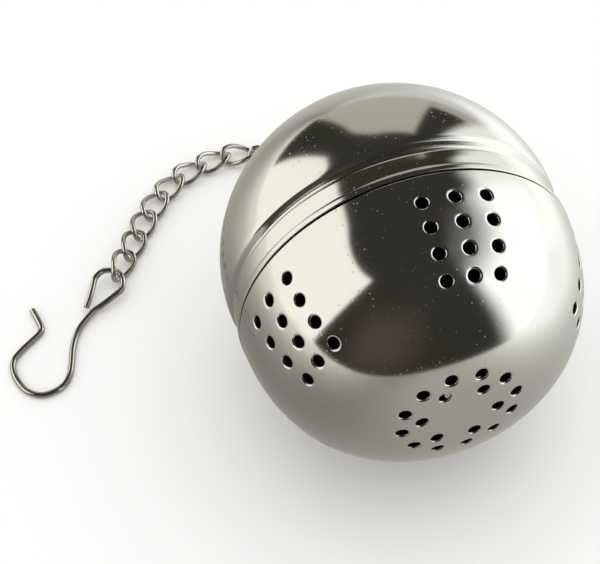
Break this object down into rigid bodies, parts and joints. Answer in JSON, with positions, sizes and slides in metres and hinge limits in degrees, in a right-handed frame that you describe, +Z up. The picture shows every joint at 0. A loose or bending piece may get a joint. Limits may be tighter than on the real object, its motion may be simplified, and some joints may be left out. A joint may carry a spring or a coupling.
{
  "type": "tea infuser",
  "caption": "Perforated stainless steel tea ball in two push-fit halves, with a curb chain and a wire hook for the rim of a cup or pot.",
  "frame": {"origin": "centre of the bowl's flat base, on the ball's axis", "axes": "+Y along the ball's axis from the base to the cap's crown, +Z up with the ball lying on its side, +X across"},
  "size_m": [0.0811, 0.0764, 0.0498],
  "materials": {
    "polished_steel": "mirror-polished stainless sheet with fine handling scratches",
    "steel_wire": "bright drawn stainless wire",
    "chain_wire": "bright rolled stainless wire, darker between the links"
  },
  "bodies": {
    "bowl": {"bowl": "polished_steel"},
    "cap": {"cap": "polished_steel"},
    "eye": {"cap_eye": "steel_wire"},
    "link_01": {"chain_link_01": "chain_wire"},
    "link_02": {"chain_link_02": "chain_wire"},
    "link_03": {"chain_link_03": "chain_wire"},
    "link_04": {"chain_link_04": "chain_wire"},
    "link_05": {"chain_link_05": "chain_wire"},
    "link_06": {"chain_link_06": "chain_wire"},
    "link_07": {"chain_link_07": "chain_wire"},
    "link_08": {"chain_link_08": "chain_wire"},
    "link_09": {"chain_link_09": "chain_wire"},
    "link_10": {"chain_link_10": "chain_wire"},
    "link_11": {"chain_link_11": "chain_wire"},
    "link_12": {"chain_link_12": "chain_wire"},
    "link_13": {"chain_link_13": "chain_wire"},
    "link_14": {"chain_link_14": "chain_wire"},
    "link_15": {"chain_link_15": "chain_wire"},
    "link_16": {"chain_link_16": "chain_wire"},
    "hook": {"hook": "steel_wire"}
  },
  "joints": [
    {"name": "cap_lift", "type": "slide", "parent": "bowl", "child": "eye", "axis": [0, 1, 0], "range_m": [0, 0.04]},
    {"name": "cap_turn", "type": "hinge", "parent": "eye", "child": "cap", "pos_m": [0, 0.05, 0], "axis": [0, 1, 0], "continuous": true},
    {"name": "link_01_swing", "type": "hinge", "parent": "eye", "child": "link_01", "pos_m": [0, 0.056, -0.00155], "axis": [-0.9354, -0.3534, -0.0127], "range_deg": [-30, 18]},
    {"name": "link_02_swing", "type": "hinge", "parent": "link_01", "child": "link_02", "pos_m": [0.00002, 0.05611, -0.00615], "axis": [-0.3535, 0.9336, 0.0584], "range_deg": [-25, 25]},
    {"name": "link_03_swing", "type": "hinge", "parent": "link_02", "child": "link_03", "pos_m": [-0.00006, 0.05636, -0.01074], "axis": [0.9347, 0.3553, -0.0076], "range_deg": [-25, 25]},
    {"name": "link_04_swing", "type": "hinge", "parent": "link_03", "child": "link_04", "pos_m": [-0.00033, 0.05697, -0.01529], "axis": [0.3352, -0.8884, -0.3137], "range_deg": [-25, 25]},
    {"name": "link_05_swing", "type": "hinge", "parent": "link_04", "child": "link_05", "pos_m": [-0.00093, 0.05828, -0.01966], "axis": [-0.9408, -0.3389, 0.0032], "range_deg": [-25, 25]},
    {"name": "link_06_swing", "type": "hinge", "parent": "link_05", "child": "link_06", "pos_m": [-0.00216, 0.06168, -0.02251], "axis": [-0.0727, 0.2111, 0.9748], "range_deg": [-25, 25]},
    {"name": "link_07_swing", "type": "hinge", "parent": "link_06", "child": "link_07", "pos_m": [-0.00376, 0.06587, -0.02354], "axis": [0.9201, 0.3916, -0.0075], "range_deg": [-25, 25]},
    {"name": "link_08_swing", "type": "hinge", "parent": "link_07", "child": "link_08", "pos_m": [-0.00556, 0.0701, -0.02362], "axis": [-0.0068, -0.0033, -1], "range_deg": [-25, 25]},
    {"name": "link_09_swing", "type": "hinge", "parent": "link_08", "child": "link_09", "pos_m": [-0.00856, 0.07359, -0.02361], "axis": [-0.2158, -0.9764, 0.007], "range_deg": [-25, 25]},
    {"name": "link_10_swing", "type": "hinge", "parent": "link_09", "child": "link_10", "pos_m": [-0.01305, 0.07458, -0.0236], "axis": [-0.0016, 0.0075, 1], "range_deg": [-25, 25]},
    {"name": "link_11_swing", "type": "hinge", "parent": "link_10", "child": "link_11", "pos_m": [-0.01755, 0.07361, -0.0236], "axis": [-0.33, 0.944, -0.0078], "range_deg": [-25, 25]},
    {"name": "link_12_swing", "type": "hinge", "parent": "link_11", "child": "link_12", "pos_m": [-0.02189, 0.07209, -0.0236], "axis": [-0.0031, -0.0094, -1], "range_deg": [-25, 25]},
    {"name": "link_13_swing", "type": "hinge", "parent": "link_12", "child": "link_13", "pos_m": [-0.02549, 0.06924, -0.02357], "axis": [0.7325, -0.6587, -0.1718], "range_deg": [-25, 25]},
    {"name": "link_14_swing", "type": "hinge", "parent": "link_13", "child": "link_14", "pos_m": [-0.02856, 0.06581, -0.02347], "axis": [0.3266, -0.1909, 0.9257], "range_deg": [-25, 25]},
    {"name": "link_15_swing", "type": "hinge", "parent": "link_14", "child": "link_15", "pos_m": [-0.03124, 0.06207, -0.02329], "axis": [-0.6578, 0.4855, 0.5758], "range_deg": [-25, 25]},
    {"name": "link_16_swing", "type": "hinge", "parent": "link_15", "child": "link_16", "pos_m": [-0.0338, 0.05826, -0.02301], "axis": [-0.6058, 0.4319, -0.6682], "range_deg": [-25, 25]},
    {"name": "hook_swing", "type": "hinge", "parent": "link_16", "child": "hook", "pos_m": [-0.03664, 0.05466, -0.02276], "axis": [0.6058, -0.4319, 0.6682], "range_deg": [-40, 40]}
  ]
}
